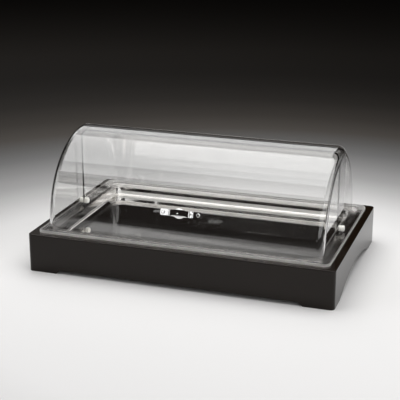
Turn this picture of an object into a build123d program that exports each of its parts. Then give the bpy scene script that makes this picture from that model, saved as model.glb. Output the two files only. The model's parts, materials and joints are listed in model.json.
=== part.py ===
from build123d import *
import math
import os

# Roll-top cooling display for one full-size catering tray, in millimetres.
# The origin is the middle of the footprint on the counter: +X along the length, -Y towards
# the customer who rolls the cover open, +Z up.

# Base housing, which stands a little outside the tray all round
base_beside_tray = 27.5
base_beyond_tray = 22.5
base_height = 73.0
base_corner = 8.0
base_edge = 1.6
skirt_wall = 3.5
foot_length = 64.0
foot_slope = 8.0
foot_lift = 7.5
arch_foot = 48.0
arch_height = 25.0
grip_depth = 20.0
grip_wall = 2.7
boss_radius = 4.5
boss_across = 7.5
boss_pitch = 155.0
pilot_radius = 1.5
rib_count = 8
rib_pitch = 62.0
rib_thickness = 2.0
rib_height = 22.0
rib_reach = 10.0
foot_web = 38.0
foot_web_thickness = 3.0
foot_pad_radius = 12.0
foot_pad_height = 3.0

# Bottom plate and its screws
plate_low = 10.0
plate_thickness = 3.0
plate_gap = 0.5
plate_hole_radius = 1.7
swage_count = 3
swage_pitch = 90.0
swage_inset = 38.0
swage_width = 8.0
swage_depth = 1.0
screw_radius = 1.45
screw_length = 14.0
screw_head_radius = 3.5
screw_head_height = 2.3
screw_socket = 1.3
screw_socket_depth = 1.2

# Tray: the full-size catering outline
tray_length = 530.0
tray_width = 325.0
tray_corner = 20.0
tray_sheet = 0.9
tray_height = 20.0
tray_flange = 11.0
tray_edge_drop = 3.0
tray_edge_round = 0.8
tray_draft = 6.0
tray_cove = 5.0
tray_play = 1.0
tray_below_rim = 0.3

# Well liner, foam tub and cool packs
liner_wall = 2.0
liner_flange = 2.0
liner_corner = 14.0
liner_floor_round = 4.0
liner_play = 0.5
liner_seat_step = 1.5
well_setback = 7.0
collar_wall = 3.5
foam_floor = 9.0
foam_play = 0.4
foam_setback = 15.0
pack_gap = 3.0
pack_corner = 18.0
pack_edge = 4.0
pack_under_tray = 0.3
pack_groove_width = 10.0
pack_groove_depth = 2.0
pack_groove_count = 4
pack_groove_inset = 68.0
plug_radius = 13.0
plug_height = 7.0
plug_inset = 34.0
plug_gap = 4.0
plug_step = 1.0
plug_flutes = 8
plug_flute_radius = 1.6
plug_flute_depth = 3.5

# Clear frame that carries the cover
frame_setback = 14.0
frame_corner = 12.0
band_width = 12.0
band_height = 5.0
band_wall = 2.0
band_round = 2.4
ledge_height = 2.0
frame_open_corner = 20.0
ledge_reach = 10.0
lip_depth = 3.5
lip_wall = 1.5
lip_play = 0.8

# Rolling cover: two clear shells about one axis
pivot_rise = 12.5
shell_wall = 3.0
shell_clearance = 2.0
shell_corner = 15.0
radial_gap = 5.0
side_gap = 5.0
front_shell_behind = 8.0
rear_shell_ahead = 10.0
roll_corner = 7.5
rest_pad_height = 0.8
rest_pad_length = 14.0
rest_pad_inset = 30.0
rest_gap = 0.3
rear_tab_length = 20.0
rear_tab_play = 0.4
rear_tab_pitch = 170.0
rear_tab_count = 3
rear_tab_drop = 1.8

# Pivot hardware, the same at both ends
journal_radius = 3.0
running_gap = 0.05
side_play = 0.2
stud_head_radius = 5.6
stud_head_length = 4.5
stud_dome = 1.2
bush_radius = 4.2
bush_flange_radius = 5.3
bush_flange = 0.8
nut_radius = 5.6
nut_length = 4.0
nut_chamfer = 0.8
spacer_radius = 5.2

# Handle on the front shell
handle_angle = 18.0
handle_length = 78.0
handle_foot = 15.0
handle_foot_width = 11.5
handle_strap = 2.2
handle_flank = 2.0
handle_rise = 9.5
handle_crown = 3.5
handle_crown_length = 35.0
handle_crown_sag = 1.0
handle_belly_width = 18.5
handle_belly_length = 26.0
handle_dome_radius = 18.0
handle_end_radius = 2.0
handle_seat = 0.05
handle_screw_inset = 5.5
handle_screw_radius = 2.0
handle_hole_gap = 0.1
handle_head_radius = 3.6
handle_head_height = 2.2
handle_head_dome = 1.5
handle_nut_across = 7.0
handle_nut_height = 2.2
handle_thread_past_nut = 0.6

# Levels and outlines that follow from the sizes above
base_length = tray_length + 2 * base_beside_tray
base_depth = tray_width + 2 * base_beyond_tray
half_length = base_length / 2
half_depth = base_depth / 2
tray_top = base_height - tray_below_rim
seat_level = tray_top - tray_edge_drop
liner_seat = seat_level - liner_flange
collar_low = liner_seat - collar_wall
rebate_length = tray_length + 2 * tray_play
rebate_width = tray_width + 2 * tray_play
liner_rebate_length = rebate_length - 2 * liner_seat_step - 2 * tray_play
liner_rebate_width = rebate_width - 2 * liner_seat_step - 2 * tray_play
well_length = tray_length - 2 * well_setback
well_width = tray_width - 2 * well_setback
plate_top = plate_low + plate_thickness
well_floor = plate_top + foam_floor + liner_wall
deck_low = base_height - skirt_wall
tray_low = tray_top - tray_height
frame_length = base_length - 2 * frame_setback
frame_depth = base_depth - 2 * frame_setback
ledge_level = base_height + ledge_height
pivot_level = base_height + pivot_rise
band_inner_length = frame_length - 2 * band_width
front_length = band_inner_length - 2 * shell_clearance
front_radius = frame_depth / 2 - band_width - shell_clearance
front_drop = pivot_level - ledge_level - rest_pad_height - rest_gap
front_inner_radius = front_radius - shell_wall
rear_radius = front_inner_radius - radial_gap
rear_length = front_length - 2 * shell_wall - 2 * side_gap
rear_drop = pivot_level - ledge_level
grip_outer = skirt_wall + grip_depth

os.makedirs("parts", exist_ok=True)
made = []


def finish(builder, name):
    """Name a finished piece and write it to its own file."""
    builder.part.label = name
    export_step(builder.part, f"parts/{name}.step")
    made.append(name)


def drafted_bowl(length, width, corner, top, depth, cove):
    """The solid inside of a pressed tray: drafted walls and a coved floor edge."""
    with BuildPart() as bowl:
        with BuildSketch(Plane.XY.offset(top)):
            RectangleRounded(length, width, corner)
        extrude(amount=-depth, taper=tray_draft)
        fillet(bowl.faces().sort_by(Axis.Z)[0].edges(), cove)
    return bowl.part


def half_cover(radius, length, corner, behind, drop, roll_round=0.0):
    """A solid half barrel about the pivot axis.

    It runs from the front round to a flat edge a little behind the pivot, hangs straight
    down below the pivot at the front, and has rounded corners where it meets its ends.
    """
    with BuildPart() as barrel:
        with BuildSketch(Plane.YZ.offset(-length / 2)):
            with BuildLine():
                low = pivot_level - drop
                rear_top = pivot_level + math.sqrt(radius**2 - behind**2)
                crown = math.radians(45)
                middle = (-radius * math.cos(crown), pivot_level + radius * math.sin(crown))
                Line((-radius, low), (-radius, pivot_level))
                ThreePointArc((-radius, pivot_level), middle, (behind, rear_top))
                Line((behind, rear_top), (behind, low))
                Line((behind, low), (-radius, low))
            make_face()
        extrude(amount=length)
        front_uprights = barrel.edges().filter_by(Axis.Z).group_by(Axis.Y)[0]
        fillet(barrel.edges().filter_by(GeomType.CIRCLE) + front_uprights, corner)
        if roll_round:
            heel = barrel.edges().filter_by(Axis.X).group_by(Axis.Z)[0].sort_by(Axis.Y)[-1]
            fillet(heel, roll_round)
    return barrel.part


# Base housing: one moulding with a skirt on four corner feet, an arched hand grip at each
# end, a flat rim, and a stepped opening that the tray and the liner drop into.
with BuildPart() as base_housing:
    with BuildSketch():
        RectangleRounded(base_length, base_depth, base_corner)
    extrude(amount=base_height)
    fillet(base_housing.faces().sort_by(Axis.Z)[-1].edges(), base_edge)
    with BuildSketch():
        RectangleRounded(
            base_length - 2 * skirt_wall, base_depth - 2 * skirt_wall, base_corner - skirt_wall
        )
    extrude(amount=deck_low, mode=Mode.SUBTRACT)
    # collar under the rim, round the opening
    with BuildSketch(Plane.XY.offset(collar_low)):
        RectangleRounded(rebate_length + 2 * collar_wall, rebate_width + 2 * collar_wall, tray_corner)
    extrude(amount=deck_low - collar_low)
    # inner wall of each hand grip
    with BuildSketch(Plane.XY.offset(plate_top)):
        with GridLocations(base_length - 2 * grip_outer - grip_wall, 0, 2, 1):
            Rectangle(grip_wall, base_depth - 2 * skirt_wall)
    extrude(amount=deck_low - plate_top)
    # screw bosses and stiffening ribs behind the long sides
    with BuildSketch(Plane.XY.offset(plate_top)):
        with GridLocations(boss_pitch, base_depth - 2 * boss_across, 4, 2):
            Circle(boss_radius)
    extrude(amount=deck_low - plate_top)
    with BuildSketch(Plane.XY.offset(deck_low - rib_height)):
        with GridLocations(rib_pitch, base_depth - 2 * skirt_wall - rib_reach, rib_count, 2):
            Rectangle(rib_thickness, rib_reach)
    extrude(amount=rib_height)
    # webs that the foot pads are glued under
    with BuildSketch(Plane.XY.offset(foot_pad_height)):
        with GridLocations(
            base_length - 2 * skirt_wall - foot_web, base_depth - 2 * skirt_wall - foot_web, 2, 2
        ):
            Rectangle(foot_web, foot_web)
    extrude(amount=foot_web_thickness)
    # the stepped opening: tray rebate, liner rebate, well
    with BuildSketch(Plane.XY.offset(seat_level)):
        RectangleRounded(rebate_length, rebate_width, tray_corner + tray_play)
    extrude(amount=base_height - seat_level, mode=Mode.SUBTRACT)
    with BuildSketch(Plane.XY.offset(liner_seat)):
        RectangleRounded(liner_rebate_length, liner_rebate_width, tray_corner - liner_seat_step)
    extrude(amount=liner_flange, mode=Mode.SUBTRACT)
    with BuildSketch(Plane.XY.offset(collar_low)):
        RectangleRounded(well_length, well_width, liner_corner)
    extrude(amount=liner_seat - collar_low, mode=Mode.SUBTRACT)
    # long sides are lifted between the feet, with sloping ends
    with BuildSketch(Plane.XZ.offset(-half_depth)):
        with BuildLine():
            low_half = half_length - foot_length + foot_slope
            high_half = half_length - foot_length
            Polyline(
                (-low_half, 0),
                (-high_half, foot_lift),
                (high_half, foot_lift),
                (low_half, 0),
                close=True,
            )
        make_face()
    extrude(amount=base_depth, mode=Mode.SUBTRACT)
    # short sides are arched
    with BuildSketch(Plane.YZ.offset(-half_length)) as arch_opening:
        with BuildLine():
            arch_half = half_depth - arch_foot
            ThreePointArc((-arch_half, 0), (0, arch_height), (arch_half, 0))
            Line((arch_half, 0), (-arch_half, 0))
        make_face()
    extrude(amount=grip_outer - grip_wall, mode=Mode.SUBTRACT)
    with BuildSketch(Plane.YZ.offset(half_length)):
        add(arch_opening.sketch_local)
    extrude(amount=grip_wall - grip_outer, mode=Mode.SUBTRACT)
    # pilot holes for the bottom screws
    with BuildSketch(Plane.XY.offset(plate_top)):
        with GridLocations(boss_pitch, base_depth - 2 * boss_across, 4, 2):
            Circle(pilot_radius)
    extrude(amount=screw_length, mode=Mode.SUBTRACT)
finish(base_housing, "base_housing")

# Well liner: a plain tub whose flange lies flush in the second rebate.
with BuildPart() as well_liner:
    with BuildSketch(Plane.XY.offset(liner_seat)):
        RectangleRounded(
            liner_rebate_length - 2 * liner_play,
            liner_rebate_width - 2 * liner_play,
            tray_corner - liner_seat_step - liner_play,
        )
    extrude(amount=liner_flange)
    with BuildSketch(Plane.XY.offset(well_floor - liner_wall)):
        RectangleRounded(
            well_length - 2 * liner_play, well_width - 2 * liner_play, liner_corner - liner_play
        )
    extrude(amount=liner_seat - well_floor + liner_wall)
    fillet(well_liner.faces().sort_by(Axis.Z)[0].edges(), liner_floor_round)
    liner_inner_length = well_length - 2 * liner_play - 2 * liner_wall
    liner_inner_width = well_width - 2 * liner_play - 2 * liner_wall
    with BuildSketch(Plane.XY.offset(well_floor)):
        RectangleRounded(
            liner_inner_length, liner_inner_width, liner_corner - liner_play - liner_wall
        )
    extrude(amount=seat_level - well_floor, mode=Mode.SUBTRACT)
finish(well_liner, "well_liner")

# Foam tub between the liner and the bottom plate.
foam_length = base_length - 2 * grip_outer - 2 * grip_wall - 2 * foam_play
foam_width = base_depth - 2 * foam_setback
with BuildPart() as foam_tub:
    with BuildSketch(Plane.XY.offset(plate_top)):
        Rectangle(foam_length, foam_width)
    extrude(amount=collar_low - foam_play - plate_top)
    with BuildSketch(Plane.XY.offset(well_floor - liner_wall)):
        RectangleRounded(well_length, well_width, liner_corner)
    extrude(amount=collar_low - well_floor + liner_wall, mode=Mode.SUBTRACT)
finish(foam_tub, "foam_tub")

# Bottom plate with three long shallow grooves in its underside and a clearance hole for each
# screw.
with BuildPart() as bottom_plate:
    plate_length = base_length - 2 * grip_outer
    plate_depth = base_depth - 2 * skirt_wall - 2 * plate_gap
    with BuildSketch(Plane.XY.offset(plate_low)):
        RectangleRounded(plate_length, plate_depth, base_corner - skirt_wall)
    extrude(amount=plate_thickness)
    with BuildSketch(Plane.XY.offset(plate_low)):
        with GridLocations(0, swage_pitch, 1, swage_count):
            SlotOverall(plate_length - 2 * swage_inset, swage_width)
    extrude(amount=swage_depth, mode=Mode.SUBTRACT)
    with BuildSketch(Plane.XY.offset(plate_low)):
        with GridLocations(boss_pitch, base_depth - 2 * boss_across, 4, 2):
            Circle(plate_hole_radius)
    extrude(amount=plate_thickness, mode=Mode.SUBTRACT)
finish(bottom_plate, "bottom_plate")

# Eight screws with hexagon sockets hold the plate to the bosses.
with BuildPart() as bottom_screws:
    with BuildSketch(Plane.XY.offset(plate_low)):
        with GridLocations(boss_pitch, base_depth - 2 * boss_across, 4, 2):
            Circle(screw_head_radius)
    extrude(amount=-screw_head_height)
    with BuildSketch(Plane.XY.offset(plate_low)):
        with GridLocations(boss_pitch, base_depth - 2 * boss_across, 4, 2):
            Circle(screw_radius)
    extrude(amount=screw_length)
    with BuildSketch(Plane.XY.offset(plate_low - screw_head_height)):
        with GridLocations(boss_pitch, base_depth - 2 * boss_across, 4, 2):
            RegularPolygon(screw_socket, 6)
    extrude(amount=screw_socket_depth, mode=Mode.SUBTRACT)
finish(bottom_screws, "bottom_screws")

# Four round pads under the corner webs, level with the bottom of the skirt.
with BuildPart() as foot_pads:
    with BuildSketch():
        with GridLocations(
            base_length - 2 * skirt_wall - foot_web, base_depth - 2 * skirt_wall - foot_web, 2, 2
        ):
            Circle(foot_pad_radius)
    extrude(amount=foot_pad_height)
finish(foot_pads, "foot_pads")

# Two cool packs side by side on the liner's floor, each with a sealed filling plug that
# stays below its top face.
pack_length = (liner_inner_length - 3 * pack_gap) / 2
pack_width = liner_inner_width - 2 * pack_gap
pack_top = tray_low - pack_under_tray
plug_floor = pack_top - plug_height - plug_step
for side, direction in (("left", -1), ("right", 1)):
    pack_x = direction * (pack_length + pack_gap) / 2
    plug_x = pack_x + direction * (pack_length / 2 - plug_inset)
    plug_y = pack_width / 2 - plug_inset
    with BuildPart() as cool_pack:
        with BuildSketch(Plane.XY.offset(well_floor)):
            with Locations((pack_x, 0)):
                RectangleRounded(pack_length, pack_width, pack_corner)
        extrude(amount=pack_top - well_floor)
        fillet(cool_pack.faces().filter_by(Axis.Z).edges(), pack_edge)
        with BuildSketch(Plane.XY.offset(pack_top - pack_groove_depth)):
            with Locations((pack_x, 0)):
                with GridLocations(pack_length / (pack_groove_count + 1), 0, pack_groove_count, 1):
                    SlotOverall(pack_width - 2 * pack_groove_inset, pack_groove_width, rotation=90)
        extrude(amount=pack_groove_depth, mode=Mode.SUBTRACT)
        with BuildSketch(Plane.XY.offset(plug_floor)):
            with Locations((plug_x, plug_y)):
                Circle(plug_radius + plug_gap)
        extrude(amount=pack_top - plug_floor, mode=Mode.SUBTRACT)
    finish(cool_pack, f"cool_pack_{side}")
    with BuildPart() as pack_plug:
        with BuildSketch(Plane.XY.offset(plug_floor)):
            with Locations((plug_x, plug_y)):
                Circle(plug_radius)
        extrude(amount=plug_height)
        with BuildSketch(Plane.XY.offset(plug_floor + plug_height)):
            with Locations((plug_x, plug_y)):
                with PolarLocations(plug_radius, plug_flutes):
                    Circle(plug_flute_radius)
        extrude(amount=-plug_flute_depth, mode=Mode.SUBTRACT)
    finish(pack_plug, f"pack_plug_{side}")

# Display tray: pressed sheet with a flat flange, a downturned edge that stands in the
# rebate, drafted walls and a coved floor edge.
bowl_length = tray_length - 2 * tray_flange
bowl_width = tray_width - 2 * tray_flange
bowl_corner = tray_corner
bowl_outside = drafted_bowl(bowl_length, bowl_width, bowl_corner, tray_top, tray_height, tray_cove)
bowl_inside = drafted_bowl(
    bowl_length - 2 * tray_sheet,
    bowl_width - 2 * tray_sheet,
    bowl_corner - tray_sheet,
    tray_top,
    tray_height - tray_sheet,
    tray_cove - tray_sheet,
)
with BuildPart() as display_tray:
    with BuildSketch(Plane.XY.offset(seat_level)):
        RectangleRounded(tray_length, tray_width, tray_corner)
    extrude(amount=tray_edge_drop)
    fillet(display_tray.faces().sort_by(Axis.Z)[-1].edges(), tray_edge_round)
    with BuildSketch(Plane.XY.offset(seat_level)):
        RectangleRounded(
            tray_length - 2 * tray_sheet, tray_width - 2 * tray_sheet, tray_corner - tray_sheet
        )
    extrude(amount=tray_edge_drop - tray_sheet, mode=Mode.SUBTRACT)
    add(bowl_outside)
    add(bowl_inside, mode=Mode.SUBTRACT)
finish(display_tray, "display_tray")

# Cover frame: a clear moulding that lies on the rim. Its raised band is hollow below, the
# ledge inside it carries both shells, and a lip locates it in the tray's mouth.
lip_length = bowl_length - 2 * tray_sheet - 2 * lip_play
lip_depth_across = bowl_width - 2 * tray_sheet - 2 * lip_play
open_length = lip_length - 2 * lip_wall
open_depth = 2 * (front_inner_radius - ledge_reach)
with BuildPart() as cover_frame:
    with BuildSketch(Plane.XY.offset(base_height)):
        RectangleRounded(frame_length, frame_depth, frame_corner)
    extrude(amount=band_height)
    with BuildSketch(Plane.XY.offset(ledge_level)):
        RectangleRounded(
            band_inner_length, frame_depth - 2 * band_width, frame_corner - band_wall
        )
    extrude(amount=band_height - ledge_height, mode=Mode.SUBTRACT)
    fillet(cover_frame.faces().sort_by(Axis.Z)[-1].edges(), band_round)
    # hollow under the band
    with BuildSketch(Plane.XY.offset(base_height)):
        RectangleRounded(
            frame_length - 2 * band_wall, frame_depth - 2 * band_wall, frame_corner - band_wall
        )
        RectangleRounded(
            band_inner_length + 2 * band_wall,
            frame_depth - 2 * band_width + 2 * band_wall,
            frame_corner,
            mode=Mode.SUBTRACT,
        )
    extrude(amount=band_height - band_wall, mode=Mode.SUBTRACT)
    # locating lip
    lip_corner = bowl_corner - tray_sheet - lip_play
    with BuildSketch(Plane.XY.offset(base_height)):
        RectangleRounded(lip_length, lip_depth_across, lip_corner)
        RectangleRounded(
            lip_length - 2 * lip_wall,
            lip_depth_across - 2 * lip_wall,
            lip_corner - lip_wall,
            mode=Mode.SUBTRACT,
        )
    extrude(amount=-lip_depth)
    # the opening
    with BuildSketch(Plane.XY.offset(base_height - lip_depth)):
        RectangleRounded(open_length, open_depth, frame_open_corner)
    extrude(amount=lip_depth + ledge_height, mode=Mode.SUBTRACT)
    # slots for the rear shell's tabs
    with BuildSketch(Plane.XY.offset(base_height)):
        with Locations((0, rear_radius - shell_wall / 2)):
            with GridLocations(rear_tab_pitch, 0, rear_tab_count, 1):
                Rectangle(rear_tab_length + 2 * rear_tab_play, shell_wall + 2 * rear_tab_play)
    extrude(amount=ledge_height, mode=Mode.SUBTRACT)
finish(cover_frame, "cover_frame")

# Soft rest pads on the ledge under the front shell's lower edge.
with BuildPart() as rest_pads:
    with BuildSketch(Plane.XY.offset(ledge_level)):
        with Locations((0, shell_wall / 2 - front_radius)):
            with GridLocations(front_length - 2 * rest_pad_inset, 0, 2, 1):
                SlotOverall(rest_pad_length, shell_wall)
    extrude(amount=rest_pad_height)
finish(rest_pads, "rest_pads")

# Front shell: the outer half of the cover. Its sides reach a little behind the pivot, and
# their lower rear corners are rounded so that they roll clear of the ledge.
front_outside = half_cover(
    front_radius, front_length, shell_corner, front_shell_behind, front_drop, roll_corner
)
front_inside = half_cover(
    front_inner_radius,
    front_length - 2 * shell_wall,
    shell_corner - shell_wall,
    front_shell_behind + shell_wall,
    front_drop + shell_wall,
)
tilt = math.radians(handle_angle)
outward = Vector(0, -math.cos(tilt), math.sin(tilt))
handle_point = Vector(0, 0, pivot_level) + outward * (front_radius + handle_seat)
handle_plane = Plane(origin=handle_point, x_dir=(1, 0, 0), z_dir=outward)
handle_screw_span = handle_length - 2 * handle_screw_inset
with BuildPart() as front_shell:
    add(front_outside)
    add(front_inside, mode=Mode.SUBTRACT)
    with BuildSketch(Plane.YZ.offset(-front_length / 2)):
        with Locations((0, pivot_level)):
            Circle(bush_radius + running_gap)
    extrude(amount=front_length, mode=Mode.SUBTRACT)
    with BuildSketch(handle_plane):
        with GridLocations(handle_screw_span, 0, 2, 1):
            Circle(handle_screw_radius + handle_hole_gap)
    extrude(amount=-4 * shell_wall, mode=Mode.SUBTRACT)
finish(front_shell, "front_shell")

# Rear shell: the fixed inner half, turned to face the back, with tabs in the frame's slots.
rear_outside = half_cover(rear_radius, rear_length, shell_corner, rear_shell_ahead, rear_drop)
rear_inside = half_cover(
    rear_radius - shell_wall,
    rear_length - 2 * shell_wall,
    shell_corner - shell_wall,
    rear_shell_ahead + shell_wall,
    rear_drop + shell_wall,
)
with BuildPart() as rear_shell:
    add(rear_outside.rotate(Axis.Z, 180))
    add(rear_inside.rotate(Axis.Z, 180), mode=Mode.SUBTRACT)
    with BuildSketch(Plane.YZ.offset(-rear_length / 2)):
        with Locations((0, pivot_level)):
            Circle(journal_radius + running_gap)
    extrude(amount=rear_length, mode=Mode.SUBTRACT)
    with BuildSketch(Plane.XY.offset(ledge_level)):
        with Locations((0, rear_radius - shell_wall / 2)):
            with GridLocations(rear_tab_pitch, 0, rear_tab_count, 1):
                Rectangle(rear_tab_length, shell_wall)
    extrude(amount=-rear_tab_drop)
finish(rear_shell, "rear_shell")

# Pivot hardware at each end, listed from the outside in: the stud's head, the front shell
# on its bush, a spacer, the rear shell, and the nut.
front_face = front_length / 2
gap_face = front_face - shell_wall
rear_face = rear_length / 2
nut_face = rear_face - shell_wall
stud_end = nut_face - nut_length
for side, direction in (("left", -1), ("right", 1)):
    facing = Plane(origin=(0, 0, pivot_level), x_dir=(0, 1, 0), z_dir=(direction, 0, 0))
    outwards = Axis((0, 0, 0), (direction, 0, 0))
    with BuildPart() as pivot_stud:
        with BuildSketch(facing.offset(front_face + side_play)):
            Circle(stud_head_radius)
        extrude(amount=stud_head_length)
        fillet(pivot_stud.edges().sort_by(outwards)[-1], stud_dome)
        with BuildSketch(facing.offset(stud_end)):
            Circle(journal_radius)
        extrude(amount=front_face + side_play - stud_end)
    finish(pivot_stud, f"pivot_stud_{side}")
    with BuildPart() as pivot_bush:
        with BuildSketch(facing.offset(gap_face)):
            Circle(bush_radius)
        extrude(amount=shell_wall)
        with BuildSketch(facing.offset(gap_face)):
            Circle(bush_flange_radius)
        extrude(amount=-bush_flange)
        with BuildSketch(facing.offset(gap_face - bush_flange)):
            Circle(journal_radius + running_gap)
        extrude(amount=shell_wall + bush_flange, mode=Mode.SUBTRACT)
    finish(pivot_bush, f"pivot_bush_{side}")
    with BuildPart() as pivot_spacer:
        with BuildSketch(facing.offset(rear_face)):
            Circle(spacer_radius)
            Circle(journal_radius + running_gap, mode=Mode.SUBTRACT)
        extrude(amount=side_gap - bush_flange - side_play)
    finish(pivot_spacer, f"pivot_spacer_{side}")
    with BuildPart() as pivot_nut:
        with BuildSketch(facing.offset(stud_end)):
            Circle(nut_radius)
            Circle(journal_radius + running_gap, mode=Mode.SUBTRACT)
        extrude(amount=nut_length)
        free_end = pivot_nut.edges().group_by(outwards)[0]
        chamfer(free_end.sort_by(SortBy.LENGTH)[-1], nut_chamfer)
    finish(pivot_nut, f"pivot_nut_{side}")

# Handle: a cast bridge with a flat foot at each end, steep flanks and a domed crown with a
# bulge in its middle. It is what its side view, its front view and its section have in
# common.
handle_end = handle_length / 2
half_foot = handle_foot_width / 2
half_belly = handle_belly_width / 2
half_bulge = handle_belly_length / 2
crown_top = handle_rise + handle_crown
with BuildPart() as handle:
    side_view = Plane(origin=handle_plane.origin, x_dir=(1, 0, 0), z_dir=-handle_plane.y_dir)
    with BuildSketch(side_view):
        with BuildLine():
            for low, high, inset in ((0, handle_rise, handle_flank), (handle_strap, crown_top, 0)):
                foot_inner = handle_end - handle_foot - inset
                crown_end = handle_crown_length / 2 - inset
                shoulder = high - handle_crown_sag
                half_flank = (foot_inner - crown_end) / 2
                dip = half_flank * 2 * handle_crown_sag / crown_end
                for way in (-1, 1):
                    Line((way * handle_end, low), (way * foot_inner, low))
                    Bezier(
                        (way * foot_inner, low),
                        (way * (foot_inner - half_flank), low),
                        (way * (crown_end + half_flank), shoulder - dip),
                        (way * crown_end, shoulder),
                    )
                ThreePointArc((-crown_end, shoulder), (0, high), (crown_end, shoulder))
            for way in (-1, 1):
                Line((way * handle_end, 0), (way * handle_end, handle_strap))
        make_face()
    extrude(amount=handle_belly_width, both=True)
    with BuildSketch(handle_plane):
        with BuildLine():
            for up in (-1, 1):
                for way in (-1, 1):
                    Line((way * handle_end, up * half_foot), (way * half_bulge, up * half_foot))
                    Bezier(
                        (way * half_bulge, up * half_foot),
                        (way * half_bulge / 2, up * half_foot),
                        (way * half_bulge / 2, up * half_belly),
                        (0, up * half_belly),
                    )
            for way in (-1, 1):
                Line((way * handle_end, -half_foot), (way * handle_end, half_foot))
        make_face()
    extrude(amount=crown_top + handle_strap, mode=Mode.INTERSECT)
    section_view = Plane(origin=handle_plane.origin, x_dir=handle_plane.y_dir, z_dir=(1, 0, 0))
    with BuildSketch(section_view):
        with Locations((0, crown_top - handle_dome_radius)):
            Circle(handle_dome_radius)
    extrude(amount=handle_length, both=True, mode=Mode.INTERSECT)
    end_edges = handle.edges().filter_by(Axis(handle_plane.origin, handle_plane.z_dir))
    fillet(end_edges.group_by(Axis.X)[0] + end_edges.group_by(Axis.X)[-1], handle_end_radius)
    with BuildSketch(handle_plane):
        with GridLocations(handle_screw_span, 0, 2, 1):
            Circle(handle_screw_radius + handle_hole_gap)
    extrude(amount=2 * handle_strap, mode=Mode.SUBTRACT)
finish(handle, "handle")

# Two screws through the handle's feet and the shell, with nuts inside.
nut_seat = -(handle_seat + shell_wall + handle_nut_across**2 / (8 * front_inner_radius))
thread_end = nut_seat - handle_nut_height - handle_thread_past_nut
with BuildPart() as handle_screws:
    with BuildSketch(handle_plane.offset(handle_strap)):
        with GridLocations(handle_screw_span, 0, 2, 1):
            Circle(handle_head_radius)
    extrude(amount=handle_head_height)
    head_axis = Axis(handle_plane.origin, handle_plane.z_dir)
    fillet(handle_screws.edges().sort_by(head_axis)[-2:], handle_head_dome)
    with BuildSketch(handle_plane.offset(thread_end)):
        with GridLocations(handle_screw_span, 0, 2, 1):
            Circle(handle_screw_radius)
    extrude(amount=handle_strap - thread_end)
finish(handle_screws, "handle_screws")
with BuildPart() as handle_nuts:
    with BuildSketch(handle_plane.offset(nut_seat)):
        with GridLocations(handle_screw_span, 0, 2, 1):
            RegularPolygon(handle_nut_across / 2, 6, major_radius=False)
            Circle(handle_screw_radius + running_gap, mode=Mode.SUBTRACT)
    extrude(amount=-handle_nut_height)
finish(handle_nuts, "handle_nuts")

print(len(made), "pieces:", ", ".join(made))
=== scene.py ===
import json
import math

import bpy
import numpy as np
from mathutils import Euler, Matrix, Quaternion, Vector


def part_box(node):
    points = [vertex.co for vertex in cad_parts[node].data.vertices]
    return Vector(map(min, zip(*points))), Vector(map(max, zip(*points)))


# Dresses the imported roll-top cooling display and sets up the studio round it. Metres, with
# the origin in the middle of the footprint on the counter, +X along the length, -Y towards
# the customer and +Z up. Every solid keeps its own shape here: the scene gives each one its
# finish, and makes the floor, the lamps and the camera.

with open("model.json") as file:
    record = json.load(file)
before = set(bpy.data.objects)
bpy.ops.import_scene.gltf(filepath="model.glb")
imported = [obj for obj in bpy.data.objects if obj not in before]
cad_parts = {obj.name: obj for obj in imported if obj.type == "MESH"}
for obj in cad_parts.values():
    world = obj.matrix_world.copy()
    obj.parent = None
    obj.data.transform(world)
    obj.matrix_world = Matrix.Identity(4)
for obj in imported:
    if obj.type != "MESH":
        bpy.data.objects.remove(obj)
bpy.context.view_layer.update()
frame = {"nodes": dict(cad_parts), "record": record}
nodes = frame["nodes"]

# The camera fitted to the corners of the base, for an image of 400 by 400 pixels
IMAGE_SIZE = 400
FOCAL_PIXELS = 1108.9
SENSOR_WIDTH = 36.0
CAMERA_PLACE = (0.63725, -1.92469, 0.78644)
CAMERA_PITCH = math.radians(18.38)
CAMERA_AZIMUTH = math.radians(18.71)

# The grain: how much of the small noise joins the broad one, and the part of its mask over
# which a roughness goes from low to high
BROAD_DETAIL = 4.0
SMALL_DETAIL = 3.0
SMALL_SHARE = 0.6
GRAIN_SPAN = (0.3, 0.7)

# Clear polycarbonate: its flow marks are broad and run along the length
PLASTIC_IOR = 1.57
LIGHT_PASSED = (0.93, 0.93, 0.92)
FLOW_COARSE = 9.0
FLOW_FINE = 70.0
FLOW_STRETCH = (0.4, 1.0, 1.0)
FLOW_SPAN = (0.35, 0.65)

# The ring's outline, and its haze: it grows along Y towards the rear, and it lies on the outer
# edge. Both are judgements, set to the tones of the photograph.
RING_HALF_LENGTH, RING_HALF_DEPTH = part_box("cover_frame")[1][:2]
RING_CORNER = 0.012
REAR_HAZE_START, REAR_HAZE_END = 0.11, 0.150
REAR_HAZE_ROUGHNESS = 0.38
EDGE_WIDTH = 0.0024
EDGE_ROUGHNESS = 0.90

# The satin belt on the tray's long walls, a judgement set to a light band in the photograph:
# the height of its middle, its half depth and the share of it that is fully satin, and the
# distance from the middle along Y where it starts
BELT_MIDDLE = 0.0583
BELT_HALF = 0.0043
BELT_FULL_SHARE = 0.85
BELT_START = 0.142
BELT_FADE = 0.0025
BELT_ROUGHNESS = 0.45

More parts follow.
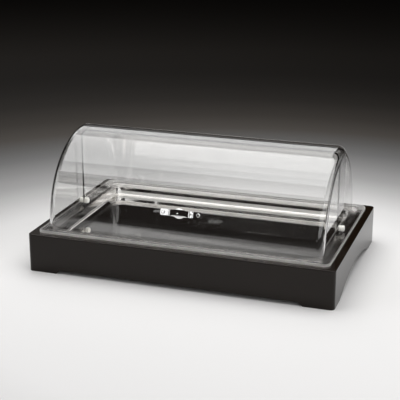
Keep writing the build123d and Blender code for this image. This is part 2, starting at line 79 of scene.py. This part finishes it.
# The floor's painted light: a radius and a tone for each stop of its ramp, round a point
# before the display, a painted pool of light that darkens away from it.
# The tones were fitted to the photograph by a separate program. The front edge lies across
# the camera's line, from dark to pale along it.
FLOOR_REACH = 9.0
FLOOR_LINES = 25
PAINTED_LIGHT_CENTRE = (0.10, -0.20)
PAINTED_LIGHT_REACH = 2.4
PAINTED_LIGHT_TONES = (
    (0.30, 0.73), (0.42, 0.735), (0.50, 0.70), (0.60, 0.61), (0.70, 0.44), (0.80, 0.295),
    (0.90, 0.212), (1.00, 0.135), (1.10, 0.090), (1.20, 0.058), (1.35, 0.035), (1.55, 0.0195),
    (1.75, 0.014), (1.95, 0.012), (2.35, 0.017),
)
# The tint of the painted tones: nearly neutral where they are pale, and warmer in the painted
# shade below a tone
PALE_TINT = (1.0, 0.99, 0.985)
WARM_SHIFT = (0.0, 0.11, 0.22)
WARM_BELOW = 0.10
WARM_SPAN = 0.05
# The painted dark band across the camera's line, just before what it sees: painted shade that
# the tray and the cover mirror as dark. Its two places along that line, the share of the pale
# ramp left in it, and its tone
PAINTED_DARK_EDGE = (-0.70, -0.60)
PAINTED_DARK_EDGE_SHARE = 0.06
PAINTED_DARK_EDGE_TONE = (0.03, 0.028, 0.025)
FLOOR_ROUGHNESS = 0.75
FLOOR_SPECULAR = 0.1
WORLD_TONE = (0.014, 0.012, 0.011)

# The lamps: name, place, the point each one faces, size, radiance, and turn in degrees
LAMPS = (
    ("overhead sheet", (0.05, 0.20, 1.45), (0.05, 0.20, 0.0), (2.1, 1.30), 3.1, 0.0),
    ("front top sheet", (0.05, -0.68, 1.45), (0.05, -0.68, 0.0), (2.1, 0.46), 1.7, 0.0),
    ("rear high sheet", (-0.95, 1.425, 1.30), (-0.95, 1.173, 0.334), (2.1, 1.19), 1.6, 0.0),
    ("rear low sheet", (-0.95, 2.00, 1.009), (-0.95, 0.0, 1.009), (2.1, 0.3125), 0.2, -2.0),
    ("right sheet", (1.40, 0.0, 0.65), (0.30, 0.0, 0.0), (1.5, 0.8), 0.8, 0.0),
    ("front right sheet", (1.45, -1.45, 0.75), (0.1, -0.25, 0.0), (1.8, 1.3), 1.6, 0.0),
    ("left sheet", (-1.50, -0.95, 0.72), (-0.2, -0.2, 0.0), (1.5, 1.1), 1.3, 0.0),
    ("handle card", (-0.594, -1.65, 0.555), (0.0, -0.15, 0.135), (0.05, 0.12), 1.4, 0.0),
)


# Shader helpers

def new_material(name):
    """A material with its tree and the Principled shader that feeds its output."""
    material = bpy.data.materials.new(name)
    material.use_nodes = True
    tree = material.node_tree
    return material, tree, tree.nodes["Principled BSDF"]


def figure(tree, operation, *values):
    """A Math node's result. Each value is a fixed number or another node's output."""
    step = tree.nodes.new("ShaderNodeMath")
    step.operation = operation
    for slot, value in enumerate(values):
        if isinstance(value, float):
            step.inputs[slot].default_value = value
        else:
            tree.links.new(value, step.inputs[slot])
    return step.outputs[0]


def remap(tree, value, start, end, low=0.0, high=1.0):
    """The value taken from start and end to low and high, and held beyond them."""
    step = tree.nodes.new("ShaderNodeMapRange")
    step.inputs["From Min"].default_value = start
    step.inputs["From Max"].default_value = end
    step.inputs["To Min"].default_value = low
    step.inputs["To Max"].default_value = high
    tree.links.new(value, step.inputs["Value"])
    return step.outputs["Result"]


def object_place(tree):
    """The Object coordinates of the shaded point, in metres."""
    return tree.nodes.new("ShaderNodeTexCoord").outputs["Object"]


def split_axes(tree, vector):
    """The X, Y and Z outputs of a vector."""
    parts = tree.nodes.new("ShaderNodeSeparateXYZ")
    tree.links.new(vector, parts.inputs["Vector"])
    return parts.outputs["X"], parts.outputs["Y"], parts.outputs["Z"]


# Shared node groups

def new_group(name, inputs, outputs):
    """A node group with named sockets, its input and its output node."""
    group = bpy.data.node_groups.new(name, "ShaderNodeTree")
    sockets = [(*row, "INPUT") for row in inputs] + [(*row, "OUTPUT") for row in outputs]
    for label, kind, way in sockets:
        group.interface.new_socket(label, in_out=way, socket_type=kind)
    return group, group.nodes.new("NodeGroupInput"), group.nodes.new("NodeGroupOutput")


def make_grain_group():
    """A group that turns coordinates into a two-scale grain: a mask and a height.

    The mask is the broad noise. The height is the broad noise plus a share of the small one.
    """
    group, entry, leave = new_group(
        "surface grain",
        (
            ("Vector", "NodeSocketVector"), ("Coarse", "NodeSocketFloat"),
            ("Fine", "NodeSocketFloat"),
        ),
        (("Mask", "NodeSocketFloat"), ("Height", "NodeSocketFloat")),
    )
    link = group.links.new
    noises = []
    for scale, detail in (("Coarse", BROAD_DETAIL), ("Fine", SMALL_DETAIL)):
        noise = group.nodes.new("ShaderNodeTexNoise")
        noise.inputs["Detail"].default_value = detail
        link(entry.outputs["Vector"], noise.inputs["Vector"])
        link(entry.outputs[scale], noise.inputs["Scale"])
        noises.append(noise.outputs["Fac"])
    broad, small = noises
    link(broad, leave.inputs["Mask"])
    link(figure(group, "MULTIPLY_ADD", small, SMALL_SHARE, broad), leave.inputs["Height"])
    return group


def make_outline_group():
    """A group that gives how far a point lies from the outline of a rounded rectangle.

    Along X and Y, q is the point's absolute place less the straight part of each half side.
    The distance is the length of q's positive parts, plus the larger part of q where both are
    negative, less the corner's radius: it is negative inside.
    """
    group, entry, leave = new_group(
        "rounded outline",
        (
            ("Vector", "NodeSocketVector"), ("Half Length", "NodeSocketFloat"),
            ("Half Depth", "NodeSocketFloat"), ("Corner", "NodeSocketFloat"),
        ),
        (("Distance", "NodeSocketFloat"),),
    )
    corner = entry.outputs["Corner"]
    places = split_axes(group, entry.outputs["Vector"])
    across = []
    for place, half in zip(places, ("Half Length", "Half Depth")):
        straight = figure(group, "SUBTRACT", entry.outputs[half], corner)
        across.append(figure(group, "SUBTRACT", figure(group, "ABSOLUTE", place), straight))
    outside = [figure(group, "MAXIMUM", q, 0.0) for q in across]
    squares = [figure(group, "MULTIPLY", q, q) for q in outside]
    length = figure(group, "SQRT", figure(group, "ADD", *squares))
    inside = figure(group, "MINIMUM", figure(group, "MAXIMUM", *across), 0.0)
    distance = figure(group, "SUBTRACT", figure(group, "ADD", length, inside), corner)
    group.links.new(distance, leave.inputs["Distance"])
    return group


surface_grain = make_grain_group()
rounded_outline = make_outline_group()


def place_grain(tree, coarse, fine, stretch):
    """The grain group's mask and height, on Object coordinates scaled by the stretch."""
    mapping = tree.nodes.new("ShaderNodeMapping")
    mapping.inputs["Scale"].default_value = stretch
    grain = tree.nodes.new("ShaderNodeGroup")
    grain.node_tree = surface_grain
    grain.inputs["Coarse"].default_value = coarse
    grain.inputs["Fine"].default_value = fine
    tree.links.new(object_place(tree), mapping.inputs["Vector"])
    tree.links.new(mapping.outputs["Vector"], grain.inputs["Vector"])
    return grain.outputs["Mask"], grain.outputs["Height"]


# Places that are rougher than the rest of a piece

def tray_belt(tree):
    """The roughness of the satin belt low on the tray's long walls, and 0 elsewhere."""
    _, along, height = split_axes(tree, object_place(tree))
    off = figure(tree, "ABSOLUTE", figure(tree, "SUBTRACT", height, BELT_MIDDLE))
    belt = remap(tree, off, BELT_HALF, BELT_HALF * BELT_FULL_SHARE, high=BELT_ROUGHNESS)
    side = figure(tree, "ABSOLUTE", along)
    long_wall = remap(tree, side, BELT_START, BELT_START + BELT_FADE)
    return figure(tree, "MULTIPLY", belt, long_wall)


def rear_haze(tree):
    """A roughness that grows from 0 towards the ring's rear."""
    _, along, _ = split_axes(tree, object_place(tree))
    return remap(tree, along, REAR_HAZE_START, REAR_HAZE_END, high=REAR_HAZE_ROUGHNESS)


def outer_edge(tree):
    """The roughness of the ring's outer edge, and 0 inside it."""
    outline = tree.nodes.new("ShaderNodeGroup")
    outline.node_tree = rounded_outline
    outline.inputs["Half Length"].default_value = RING_HALF_LENGTH
    outline.inputs["Half Depth"].default_value = RING_HALF_DEPTH
    outline.inputs["Corner"].default_value = RING_CORNER
    tree.links.new(object_place(tree), outline.inputs["Vector"])
    distance = outline.outputs["Distance"]
    return remap(tree, distance, -EDGE_WIDTH, -EDGE_WIDTH / 2, high=EDGE_ROUGHNESS)


# Materials

def finish_surface(tree, shader, mask, height, span, rough, bump, places):
    """Joins roughness and bump to a shader.

    The roughness goes from low to high over the span of the mask, and is raised to that of
    each rougher place. The height is bumped by a distance in metres.
    """
    roughness = remap(tree, mask, *span, *rough)
    for place in places:
        roughness = figure(tree, "MAXIMUM", place(tree), roughness)
    relief = tree.nodes.new("ShaderNodeBump")
    relief.inputs["Strength"].default_value = 1.0
    relief.inputs["Distance"].default_value = bump
    tree.links.new(height, relief.inputs["Height"])
    tree.links.new(relief.outputs["Normal"], shader.inputs["Normal"])
    tree.links.new(roughness, shader.inputs["Roughness"])


def grained(
    name, dark, light, rough, bump, coarse=60.0, fine=900.0, stretch=(1, 1, 1), places=(),
    **plain,
):
    """A Principled material whose colour, roughness and bump follow the grain group.

    dark and light are the two colours that the mask blends, rough is the low and high
    roughness, and bump is its distance in metres. places are the functions that give a
    rougher place each, and plain sets the shader's own sockets.
    """
    material, tree, shader = new_material(name)
    mask, height = place_grain(tree, coarse, fine, stretch)
    tint = tree.nodes.new("ShaderNodeMix")
    tint.data_type = "RGBA"
    tint.inputs["A"].default_value = (*dark, 1.0)
    tint.inputs["B"].default_value = (*light, 1.0)
    tree.links.new(mask, tint.inputs["Factor"])
    tree.links.new(tint.outputs["Result"], shader.inputs["Base Color"])
    finish_surface(tree, shader, mask, height, GRAIN_SPAN, rough, bump, places)
    for socket, value in plain.items():
        shader.inputs[socket].default_value = value
    return material


def clear_plastic(name, tint, rough, bump, places=()):
    """Clear moulding: a refracting shader with faint flow marks, open to shadow rays.

    tint is the colour it passes, rough the low and high roughness, bump the distance in
    metres of the flow marks' relief, and places the functions that give a rougher place
    each. Light from the lamps goes straight through the piece, so what stands inside is lit
    about as it is under a real clear cover, but unbent.
    """
    material, tree, shader = new_material(name)
    shader.inputs["Base Color"].default_value = (*tint, 1.0)
    shader.inputs["Transmission Weight"].default_value = 1.0
    shader.inputs["IOR"].default_value = PLASTIC_IOR
    mask, height = place_grain(tree, FLOW_COARSE, FLOW_FINE, FLOW_STRETCH)
    finish_surface(tree, shader, mask, height, FLOW_SPAN, rough, bump, places)
    path = tree.nodes.new("ShaderNodeLightPath")
    straight = figure(
        tree, "MAXIMUM", path.outputs["Is Shadow Ray"], path.outputs["Is Diffuse Ray"],
    )
    through = tree.nodes.new("ShaderNodeBsdfTransparent")
    through.inputs["Color"].default_value = (*LIGHT_PASSED, 1.0)
    blend = tree.nodes.new("ShaderNodeMixShader")
    tree.links.new(straight, blend.inputs["Fac"])
    tree.links.new(shader.outputs["BSDF"], blend.inputs[1])
    tree.links.new(through.outputs["BSDF"], blend.inputs[2])
    tree.links.new(blend.outputs["Shader"], tree.nodes["Material Output"].inputs["Surface"])
    return material


finishes = {
    "black_plastic": grained(
        "glossy black moulding", dark=(0.0052, 0.0026, 0.0010), light=(0.0084, 0.0045, 0.0019),
        rough=(0.03, 0.07), bump=0.000006, coarse=25.0, fine=500.0, IOR=1.34,
    ),
    "liner_plastic": grained(
        "white liner", dark=(0.70, 0.70, 0.68), light=(0.76, 0.76, 0.74),
        rough=(0.38, 0.5), bump=0.00004,
    ),
    "foam": grained(
        "bead foam", dark=(0.78, 0.78, 0.75), light=(0.9, 0.9, 0.87),
        rough=(0.8, 0.95), bump=0.0004, fine=260.0,
    ),
    "plate_plastic": grained(
        "textured black plate", dark=(0.02, 0.02, 0.02), light=(0.035, 0.035, 0.035),
        rough=(0.5, 0.65), bump=0.0001,
    ),
    "zinc_screws": grained(
        "zinc", dark=(0.5, 0.5, 0.5), light=(0.66, 0.66, 0.65),
        rough=(0.25, 0.4), bump=0.00002, Metallic=1.0,
    ),
    "pad_rubber": grained(
        "pad rubber", dark=(0.02, 0.02, 0.02), light=(0.04, 0.04, 0.04),
        rough=(0.75, 0.9), bump=0.0001,
    ),
    "pack_plastic": grained(
        "blue pack", dark=(0.09, 0.25, 0.44), light=(0.13, 0.31, 0.52),
        rough=(0.35, 0.5), bump=0.0001, coarse=30.0,
    ),
    "plug_plastic": grained(
        "white plug", dark=(0.76, 0.76, 0.74), light=(0.84, 0.84, 0.82),
        rough=(0.35, 0.5), bump=0.00004,
    ),
    "polished_steel": grained(
        "mirror steel", dark=(0.74, 0.73, 0.72), light=(0.80, 0.79, 0.78),
        rough=(0.02, 0.06), bump=0.000004, coarse=12.0, fine=300.0, stretch=(0.25, 1, 1),
        places=(tray_belt,), Metallic=1.0,
    ),
    "clear_frame": clear_plastic(
        "clear ring", tint=(0.98, 0.96, 0.95), rough=(0.03, 0.08), bump=0.000008,
        places=(rear_haze, outer_edge),
    ),
    "clear_pads": grained(
        "clear silicone", dark=(0.75, 0.75, 0.74), light=(0.82, 0.82, 0.8),
        rough=(0.45, 0.6), bump=0.00005, Alpha=0.7,
    ),
    "clear_shell": clear_plastic(
        "clear shell", tint=(0.98, 0.98, 0.975), rough=(0.0, 0.02), bump=0.00001,
    ),
    "bright_chrome": grained(
        "bright chrome", dark=(0.80, 0.80, 0.80), light=(0.86, 0.86, 0.86),
        rough=(0.03, 0.08), bump=0.000004, Metallic=1.0,
    ),
    "pivot_plastic": grained(
        "white nylon", dark=(0.88, 0.87, 0.84), light=(0.93, 0.92, 0.89),
        rough=(0.35, 0.45), bump=0.00003,
    ),
}

for row in frame["record"]["subparts"]:
    node = nodes[row["node"]]
    node.data.materials.clear()
    node.data.materials.append(finishes[row["material_slot"]])


# Studio: a wide floor with a painted pool of light, pale round the display and darkening away
# from it, and a painted dark band before it, with light sheets overhead, behind and at both
# sides, and a small card for the handle's left foot

def grid_mesh(name, points):
    """An open sheet from an array of rows by columns by three: each cell is one quad."""
    rows, columns = points.shape[:2]
    corner = (np.arange(rows - 1)[:, None] * columns + np.arange(columns - 1)[None, :]).ravel()
    quads = np.stack([corner, corner + 1, corner + columns + 1, corner + columns], axis=1)
    mesh = bpy.data.meshes.new(name)
    mesh.from_pydata(points.reshape(-1, 3).tolist(), [], quads.tolist())
    mesh.polygons.foreach_set("use_smooth", np.ones(len(quads), dtype=bool))
    mesh.update()
    thing = bpy.data.objects.new(name, mesh)
    bpy.context.scene.collection.objects.link(thing)
    return thing


def flat_floor(reach):
    """A level square of ground at height zero, reaching the same way on all sides."""
    line = np.linspace(-reach, reach, FLOOR_LINES)
    points = np.zeros((FLOOR_LINES, FLOOR_LINES, 3))
    points[..., 0] = line[None, :]
    points[..., 1] = line[:, None]
    return grid_mesh("studio floor", points)


def painted_light_colour(tone):
    """A painted tone's colour: nearly neutral where the painted light is pale, and warmer as
    the painted shade gets dark.
    """
    warmth = min(max((WARM_BELOW - tone) / WARM_SPAN, 0.0), 1.0)
    return [tone * (pale - shift * warmth) for pale, shift in zip(PALE_TINT, WARM_SHIFT)]


def floor_painted_light():
    """A ground with a painted pool of light: its tone falls with the distance from a point
    before the display.

    A straight edge lies across the camera's line, just before what it sees, and past it the
    ground is painted dark too: a painted dark band, which the tray and the cover mirror as
    dark. The place along that line is the dot product of the point with the line's direction.
    """
    material, tree, shader = new_material("floor with painted light")
    link = tree.links.new
    along = tree.nodes.new("ShaderNodeVectorMath")
    along.operation = "DOT_PRODUCT"
    along.inputs[1].default_value = (-math.sin(CAMERA_AZIMUTH), math.cos(CAMERA_AZIMUTH), 0.0)
    shift = tree.nodes.new("ShaderNodeMapping")
    shift.inputs["Location"].default_value = (-PAINTED_LIGHT_CENTRE[0], -PAINTED_LIGHT_CENTRE[1], 0.0)
    away = tree.nodes.new("ShaderNodeVectorMath")
    away.operation = "LENGTH"
    ramp = tree.nodes.new("ShaderNodeValToRGB")
    stops = ramp.color_ramp.elements
    while len(stops) < len(PAINTED_LIGHT_TONES):
        stops.new(0.5)
    for stop, (radius, tone) in zip(stops, PAINTED_LIGHT_TONES):
        stop.position = radius / PAINTED_LIGHT_REACH
        stop.color = (*painted_light_colour(tone), 1.0)
    shade = tree.nodes.new("ShaderNodeMix")
    shade.data_type = "RGBA"
    shade.inputs["A"].default_value = (*PAINTED_DARK_EDGE_TONE, 1.0)
    place = object_place(tree)
    link(place, along.inputs[0])
    link(place, shift.inputs["Vector"])
    link(shift.outputs["Vector"], away.inputs[0])
    share = figure(tree, "DIVIDE", away.outputs["Value"], PAINTED_LIGHT_REACH)
    link(share, ramp.inputs["Fac"])
    # Painted shade: past the edge the ramp keeps only a small share, under the painted dark
    # band's tone
    pale = remap(tree, along.outputs["Value"], *PAINTED_DARK_EDGE, low=PAINTED_DARK_EDGE_SHARE)
    link(pale, shade.inputs["Factor"])
    link(ramp.outputs["Color"], shade.inputs["B"])
    link(shade.outputs["Result"], shader.inputs["Base Color"])
    shader.inputs["Roughness"].default_value = FLOOR_ROUGHNESS
    shader.inputs["Specular IOR Level"].default_value = FLOOR_SPECULAR
    return material


def light_sheet(name, place, aim, size, radiance, roll):
    """A rectangular area lamp at a place, turned to face the point that it aims at.

    A flat lamp's power is its radiance times its area times pi. roll turns it about its own
    axis, in degrees.
    """
    lamp = bpy.data.lights.new(name, "AREA")
    lamp.shape = "RECTANGLE"
    lamp.size, lamp.size_y = size
    lamp.energy = radiance * math.pi * size[0] * size[1]
    thing = bpy.data.objects.new(name, lamp)
    thing.location = place
    facing = (Vector(aim) - Vector(place)).to_track_quat("-Z", "Y")
    thing.rotation_euler = (facing @ Quaternion((0, 0, 1), math.radians(roll))).to_euler()
    thing.visible_camera = False
    bpy.context.scene.collection.objects.link(thing)


floor = flat_floor(FLOOR_REACH)
floor.data.materials.append(floor_painted_light())

world = bpy.data.worlds.new("studio air")
world.use_nodes = True
world.node_tree.nodes["Background"].inputs["Color"].default_value = (*WORLD_TONE, 1.0)
bpy.context.scene.world = world

for lamp_row in LAMPS:
    light_sheet(*lamp_row)

camera_data = bpy.data.cameras.new("photo camera")
camera_data.sensor_width = SENSOR_WIDTH
camera_data.lens = FOCAL_PIXELS / IMAGE_SIZE * SENSOR_WIDTH
camera = bpy.data.objects.new("photo camera", camera_data)
camera.location = CAMERA_PLACE
camera.rotation_euler = Euler((math.pi / 2 - CAMERA_PITCH, 0.0, CAMERA_AZIMUTH), "XYZ")
bpy.context.scene.collection.objects.link(camera)
bpy.context.scene.camera = camera
bpy.context.scene.view_settings.view_transform = "Standard"
